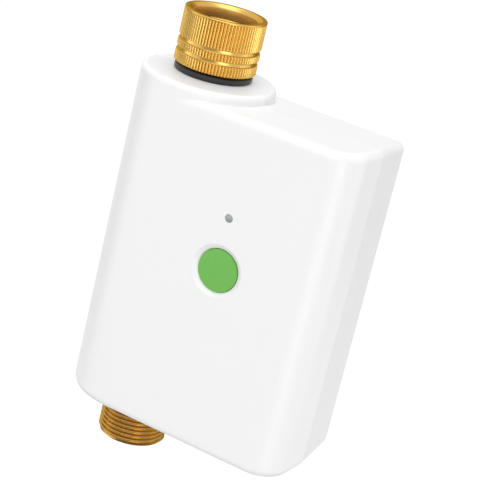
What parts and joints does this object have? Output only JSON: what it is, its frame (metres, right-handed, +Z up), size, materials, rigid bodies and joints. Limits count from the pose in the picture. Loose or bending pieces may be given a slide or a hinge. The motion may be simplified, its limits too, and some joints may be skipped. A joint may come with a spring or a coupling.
{
  "type": "smart water timer",
  "caption": "Garden tap water timer: white housing with a round water column, knurled brass tap nut, threaded outlet, green push button, status light and a geared ball valve inside.",
  "frame": {"origin": "centre of the mouth of the inlet nut's thread, at the top of the timer", "axes": "+X to the right of the front face, +Y from front to back, +Z up, along the inlet and the outlet"},
  "size_m": [0.0995, 0.0504, 0.1714],
  "materials": {
    "shell_plastic": "smooth white moulded plastic",
    "cover_plastic": "fine-textured white moulded plastic",
    "button_green": "satin green moulded plastic",
    "light_lens": "smoky polished light guide",
    "turned_brass": "turned brass",
    "seal_rubber": "black moulded rubber",
    "stainless_steel": "plain stainless steel",
    "valve_plastic": "black glass-filled nylon",
    "seat_plastic": "white low-friction plastic",
    "gear_plastic": "natural acetal",
    "gearbox_plastic": "black moulded plastic",
    "motor_steel": "nickel-plated drawn steel",
    "board_laminate": "green solder resist",
    "shield_metal": "tinned sheet shield",
    "socket_plastic": "natural nylon",
    "light_chip": "small lamp chip",
    "contact_metal": "nickel-plated spring steel",
    "battery_sleeve": "printed plastic sleeve, bare of print"
  },
  "bodies": {
    "housing": {"front_shell": "shell_plastic", "rear_cover": "cover_plastic", "light_guide": "light_lens", "inlet_spigot": "turned_brass", "outlet_nipple": "turned_brass", "cover_gasket": "seal_rubber", "inlet_washer": "seal_rubber", "inlet_o_ring": "seal_rubber", "outlet_o_ring": "seal_rubber", "collar_ring": "seal_rubber", "filter_screen": "stainless_steel", "gear_axles": "stainless_steel", "cover_screws": "stainless_steel", "board_screws": "stainless_steel", "gearbox_screws": "stainless_steel", "flange_screws": "stainless_steel", "motor_screws": "stainless_steel", "valve_body": "valve_plastic", "upper_ball_seat": "seat_plastic", "lower_ball_seat": "seat_plastic", "gearbox_case": "gearbox_plastic", "gearbox_cover": "gearbox_plastic", "limit_switches": "gearbox_plastic", "tact_switch": "gearbox_plastic", "battery_holder": "gearbox_plastic", "motor_end_cap": "gearbox_plastic", "motor_can": "motor_steel", "circuit_board": "board_laminate", "wireless_module": "shield_metal", "wire_sockets": "socket_plastic", "status_light": "light_chip", "contact_plates": "contact_metal", "contact_springs": "contact_metal", "battery_1": "battery_sleeve", "battery_2": "battery_sleeve", "battery_3": "battery_sleeve", "battery_4": "battery_sleeve"},
    "nut": {"inlet_nut": "turned_brass"},
    "button": {"button_cap": "button_green", "switch_plunger": "socket_plastic", "button_o_ring": "seal_rubber"},
    "valve": {"valve_ball": "turned_brass", "valve_stem": "turned_brass", "stem_o_rings": "seal_rubber", "output_gear": "gear_plastic"},
    "second_gear": {"second_gear": "gear_plastic"},
    "first_gear": {"first_gear": "gear_plastic"},
    "motor_rotor": {"motor_shaft": "stainless_steel", "motor_pinion": "turned_brass"},
    "door": {"battery_door": "cover_plastic", "door_gasket": "seal_rubber", "door_screws": "stainless_steel"}
  },
  "joints": [
    {"name": "nut_spin", "type": "hinge", "parent": "housing", "child": "nut", "pos_m": [0, 0, -0.0106], "axis": [0, 0, 1], "continuous": true},
    {"name": "button_press", "type": "slide", "parent": "housing", "child": "button", "axis": [0, 1, 0], "range_m": [0, 0.0005], "stiffness_N_per_m": 1500, "springref_m": -0.0006},
    {"name": "valve_turn", "type": "hinge", "parent": "housing", "child": "valve", "pos_m": [0.02, 0, -0.07], "axis": [1, 0, 0], "range_deg": [0, 90]},
    {"name": "second_gear_spin", "type": "hinge", "parent": "housing", "child": "second_gear", "pos_m": [0.02, 0, -0.0862], "axis": [1, 0, 0], "range_deg": [-315, 0]},
    {"name": "first_gear_spin", "type": "hinge", "parent": "housing", "child": "first_gear", "pos_m": [0.02, 0, -0.1006], "axis": [1, 0, 0], "range_deg": [0, 945]},
    {"name": "motor_spin", "type": "hinge", "parent": "housing", "child": "motor_rotor", "pos_m": [0.02, 0, -0.115], "axis": [1, 0, 0], "range_deg": [-2835, 0]},
    {"name": "door_lift", "type": "slide", "parent": "housing", "child": "door", "axis": [0, 1, 0], "range_m": [0, 0.03]}
  ],
  "couplings": [
    {"joint": "second_gear_spin", "follows": "valve_turn", "ratio": -3.5},
    {"joint": "first_gear_spin", "follows": "valve_turn", "ratio": 10.5},
    {"joint": "motor_spin", "follows": "valve_turn", "ratio": -31.5}
  ]
}
